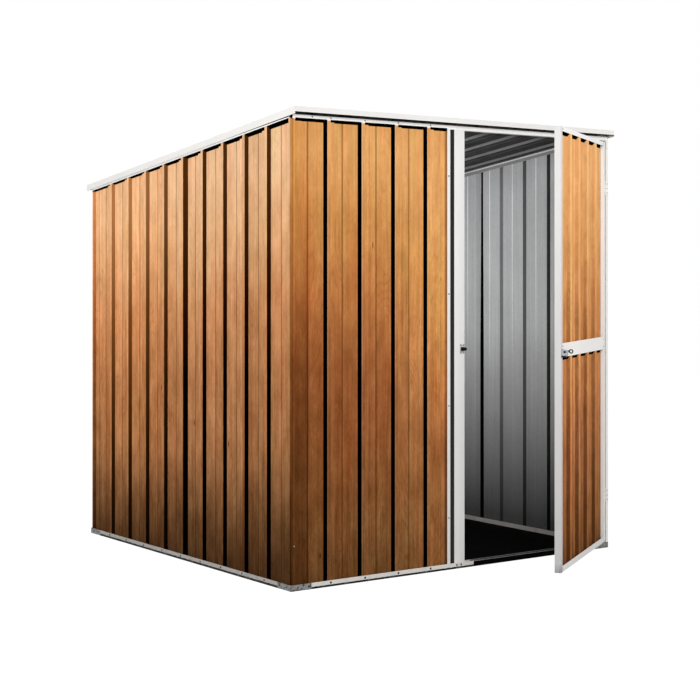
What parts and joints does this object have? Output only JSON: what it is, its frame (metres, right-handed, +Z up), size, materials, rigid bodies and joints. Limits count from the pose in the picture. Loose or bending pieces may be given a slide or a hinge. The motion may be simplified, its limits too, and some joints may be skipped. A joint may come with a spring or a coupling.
{
  "type": "garden shed",
  "caption": "Single-slope metal garden shed with ribbed walls, folded base and top rails and a side-hung door with a sliding bolt.",
  "frame": {"origin": "centre of the base footprint, on the ground, under the floor panel", "axes": "+Z up, +X to the right along the front as seen from outside, +Y from the front to the back; the door is at the right of the front, which faces -Y"},
  "size_m": [1.764, 2.2686, 1.922],
  "materials": {
    "wood_print": "printed vertical wood grain under a satin coat, light at the top and darker towards the ground",
    "trim_white": "smooth off-white satin coat",
    "zinc": "galvanised, slightly mottled, semi-gloss",
    "sill_dark": "near-black satin coat",
    "floor_board": "black, faintly streaked",
    "latch_metal": "dark grey metal, satin"
  },
  "bodies": {
    "shell": {"floor_panel": "floor_board", "base_rail_front": "trim_white", "base_rail_left": "trim_white", "base_rail_right": "trim_white", "base_rail_back": "trim_white", "door_sill": "sill_dark", "base_corners": "zinc", "front_sheet": "wood_print", "left_sheet_front": "wood_print", "left_sheet_back": "wood_print", "right_sheet_front": "wood_print", "right_sheet_back": "wood_print", "back_sheet_left": "wood_print", "back_sheet_right": "wood_print", "corner_sheet_front_left": "wood_print", "corner_sheet_back_left": "wood_print", "corner_sheet_back_right": "wood_print", "jamb_strip": "trim_white", "latch_post": "trim_white", "hinge_post": "trim_white", "top_rail_front": "trim_white", "top_rail_back": "trim_white", "top_rail_left": "trim_white", "top_rail_right": "trim_white", "roof_sheet_left": "zinc", "roof_sheet_right": "zinc", "fascia_front": "trim_white", "fascia_back": "trim_white", "verge_left": "trim_white", "verge_right": "trim_white", "latch_keeper": "latch_metal", "post_hinges": "trim_white"},
    "door": {"door_free_stile": "trim_white", "door_hinge_stile": "trim_white", "door_top_rail": "trim_white", "door_mid_rail": "trim_white", "door_bottom_rail": "trim_white", "door_panel_upper": "wood_print", "door_panel_lower": "wood_print", "door_hinges": "trim_white", "latch_housing": "latch_metal"},
    "bolt": {"latch_bolt": "latch_metal"}
  },
  "joints": [
    {"name": "door_hinge", "type": "hinge", "parent": "shell", "child": "door", "pos_m": [0.86, -0.885, 0], "axis": [0, 0, 1], "range_deg": [-32.7, 82.3]},
    {"name": "bolt_slide", "type": "slide", "parent": "door", "child": "bolt", "axis": [-0.8415, -0.5402, 0], "range_m": [0, 0.026]}
  ]
}
